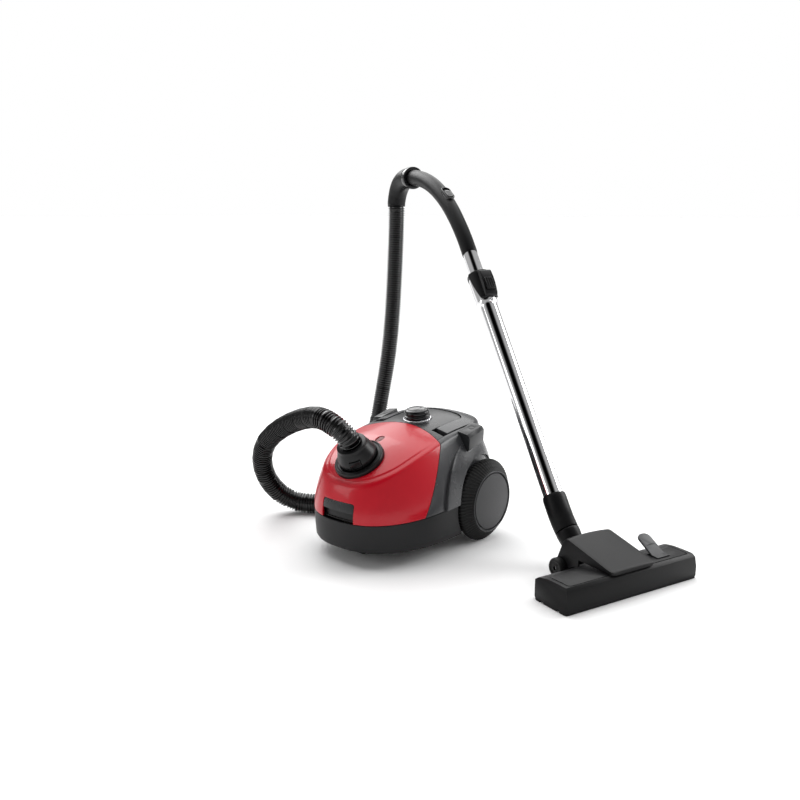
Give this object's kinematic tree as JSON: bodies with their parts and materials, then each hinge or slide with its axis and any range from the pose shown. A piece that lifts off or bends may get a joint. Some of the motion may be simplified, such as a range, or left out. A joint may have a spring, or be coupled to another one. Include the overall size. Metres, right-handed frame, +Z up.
{
  "type": "canister vacuum cleaner",
  "caption": "Canister vacuum cleaner with glossy red lid, dark tub, corrugated hose, telescopic chrome wand with curved grip, and a wide floor head with a swivelling elbow",
  "frame": {"origin": "centre of the footprint of everything but the hose, on the floor", "axes": "X across the canister toward the floor head, Y from the canister's front to its back, Z up"},
  "size_m": [0.885, 0.6103, 0.6753],
  "materials": {
    "dark": "satin moulded plastic",
    "black": "matt black moulded plastic",
    "red": "high gloss red",
    "rubber": "matt rubber",
    "chrome": "polished chrome plate",
    "steel": "turned steel",
    "paper": "filter paper bag",
    "foam": "filter fleece",
    "hose": "ribbed black stretch hose",
    "board": "circuit board",
    "grey": "grey moulded plastic",
    "bristle": "nylon bristle"
  },
  "bodies": {
    "canister": {"chassis": "dark", "rear_housing": "dark", "top_panel": "dark", "knob_bezel": "chrome", "control_board": "board", "exhaust_grille": "dark", "exhaust_filter": "foam", "cord_outlet_bush": "rubber", "dust_bag": "paper", "bag_holder": "grey", "filter_wall": "dark", "motor_filter": "foam", "motor_housing": "steel", "reel_axle": "steel", "axle_left": "steel", "axle_right": "steel", "hose_front": "hose", "hose_rear": "hose", "lower_tube": "chrome", "tube_collar": "black", "tube_lock_housing": "black", "neck": "black"},
    "lid": {"front_lid": "red", "inlet_collar": "black", "lid_seal": "rubber", "bag_full_indicator": "red"},
    "latch": {"lid_latch": "dark"},
    "connector": {"hose_connector": "black"},
    "release_button": {"release_button": "black"},
    "carry_handle": {"carry_handle": "dark"},
    "power_pedal": {"power_pedal": "dark"},
    "rewind_pedal": {"rewind_pedal": "dark"},
    "suction_knob": {"suction_knob": "black"},
    "wheel_left": {"wheel_left": "black", "tyre_left": "rubber"},
    "wheel_right": {"wheel_right": "black", "tyre_right": "rubber"},
    "caster_fork": {"caster_fork": "black"},
    "caster_wheel": {"caster_wheel": "rubber"},
    "motor_rotor": {"motor_shaft": "steel", "motor_fan": "grey"},
    "cord_reel": {"cord_reel": "grey"},
    "upper_wand": {"upper_tube": "chrome", "tube_glider": "grey", "handle_grip": "black", "cuff_ring": "black", "hose_cuff": "black"},
    "air_slider": {"air_slider": "black"},
    "tube_lock_button": {"tube_lock_button": "black"},
    "elbow": {"elbow": "black"},
    "floor_head": {"head_body": "black", "head_sole": "grey", "head_cover": "dark", "roller_axle": "steel"},
    "head_pedal": {"head_pedal": "grey"},
    "brushes": {"brush_front": "bristle", "brush_rear": "bristle"},
    "roller_left": {"roller_left": "rubber"},
    "roller_right": {"roller_right": "rubber"}
  },
  "joints": [
    {"name": "lid_hinge", "type": "hinge", "parent": "canister", "child": "lid", "pos_m": [-0.0467, -0.1205, 0.2115], "axis": [-1, 0, 0], "range_deg": [0, 70], "deforming": ["hose_front"]},
    {"name": "lid_latch_hinge", "type": "hinge", "parent": "lid", "child": "latch", "pos_m": [-0.0467, -0.2995, 0.1045], "axis": [-1, 0, 0], "range_deg": [0, 20]},
    {"name": "connector_turn", "type": "hinge", "parent": "lid", "child": "connector", "pos_m": [-0.0467, -0.246, 0.171], "axis": [0, -0.5299, 0.848], "continuous": true, "deforming": ["hose_front"]},
    {"name": "release_button_slide", "type": "slide", "parent": "connector", "child": "release_button", "axis": [-0.6157, 0.6683, 0.4176], "range_m": [0, 0.002], "stiffness_N_per_m": 300, "springref_m": -0.001},
    {"name": "carry_handle_hinge", "type": "hinge", "parent": "canister", "child": "carry_handle", "pos_m": [-0.0467, -0.101, 0.1935], "axis": [1, 0, 0], "range_deg": [0, 80]},
    {"name": "power_pedal_slide", "type": "slide", "parent": "canister", "child": "power_pedal", "axis": [-0.1736, 0.2048, -0.9633], "range_m": [0, 0.0025], "stiffness_N_per_m": 600, "springref_m": -0.003},
    {"name": "rewind_pedal_slide", "type": "slide", "parent": "canister", "child": "rewind_pedal", "axis": [0.1736, 0.2048, -0.9633], "range_m": [0, 0.0025], "stiffness_N_per_m": 600, "springref_m": -0.003},
    {"name": "knob_turn", "type": "hinge", "parent": "canister", "child": "suction_knob", "pos_m": [-0.0467, -0.09, 0.2135], "axis": [0, -0.0958, 0.9954], "range_deg": [-135, 135]},
    {"name": "wheel_left_spin", "type": "hinge", "parent": "canister", "child": "wheel_left", "pos_m": [-0.0467, -0.046, 0.074], "axis": [1, 0, 0], "continuous": true},
    {"name": "wheel_right_spin", "type": "hinge", "parent": "canister", "child": "wheel_right", "pos_m": [-0.0467, -0.046, 0.074], "axis": [1, 0, 0], "continuous": true},
    {"name": "caster_swivel", "type": "hinge", "parent": "canister", "child": "caster_fork", "pos_m": [-0.0467, -0.251, 0.04], "axis": [0, 0, 1], "continuous": true},
    {"name": "caster_spin", "type": "hinge", "parent": "caster_fork", "child": "caster_wheel", "pos_m": [-0.0467, -0.241, 0.012], "axis": [1, 0, 0], "continuous": true},
    {"name": "motor_spin", "type": "hinge", "parent": "canister", "child": "motor_rotor", "pos_m": [-0.0927, -0.076, 0.088], "axis": [0, 1, 0], "continuous": true},
    {"name": "reel_spin", "type": "hinge", "parent": "canister", "child": "cord_reel", "pos_m": [0.0033, -0.05, 0.096], "axis": [1, 0, 0], "continuous": true},
    {"name": "tube_telescope", "type": "slide", "parent": "canister", "child": "upper_wand", "axis": [-0.573, 0.297, 0.7638], "range_m": [0, 0.3], "deforming": ["hose_rear"]},
    {"name": "air_slider_slide", "type": "slide", "parent": "upper_wand", "child": "air_slider", "axis": [-0.7636, 0.3958, 0.5101], "range_m": [0, 0.008]},
    {"name": "tube_lock_press", "type": "slide", "parent": "canister", "child": "tube_lock_button", "axis": [-0.6781, 0.3515, -0.6455], "range_m": [0, 0.002], "stiffness_N_per_m": 300, "springref_m": -0.001},
    {"name": "elbow_swivel", "type": "hinge", "parent": "canister", "child": "elbow", "pos_m": [0.24659, -0.05128, 0.058], "axis": [-0.6498, 0.2162, 0.7287], "range_deg": [-40, 40]},
    {"name": "elbow_tilt", "type": "hinge", "parent": "elbow", "child": "floor_head", "pos_m": [0.28359, -0.06359, 0.0165], "axis": [0.3156, 0.9489, 0], "range_deg": [-20, 35]},
    {"name": "head_pedal_rock", "type": "hinge", "parent": "floor_head", "child": "head_pedal", "pos_m": [0.39282, -0.01561, 0.0415], "axis": [-0.3156, -0.9489, 0], "range_deg": [0, 18]},
    {"name": "brush_drop", "type": "slide", "parent": "floor_head", "child": "brushes", "axis": [0, 0, -1], "range_m": [0, 0.003]},
    {"name": "roller_left_spin", "type": "hinge", "parent": "floor_head", "child": "roller_left", "pos_m": [0.28359, -0.06359, 0.0165], "axis": [0.3156, 0.9489, 0], "continuous": true},
    {"name": "roller_right_spin", "type": "hinge", "parent": "floor_head", "child": "roller_right", "pos_m": [0.28359, -0.06359, 0.0165], "axis": [0.3156, 0.9489, 0], "continuous": true}
  ],
  "couplings": [
    {"joint": "brush_drop", "follows": "head_pedal_rock", "m_per_rad": 0.00954}
  ]
}
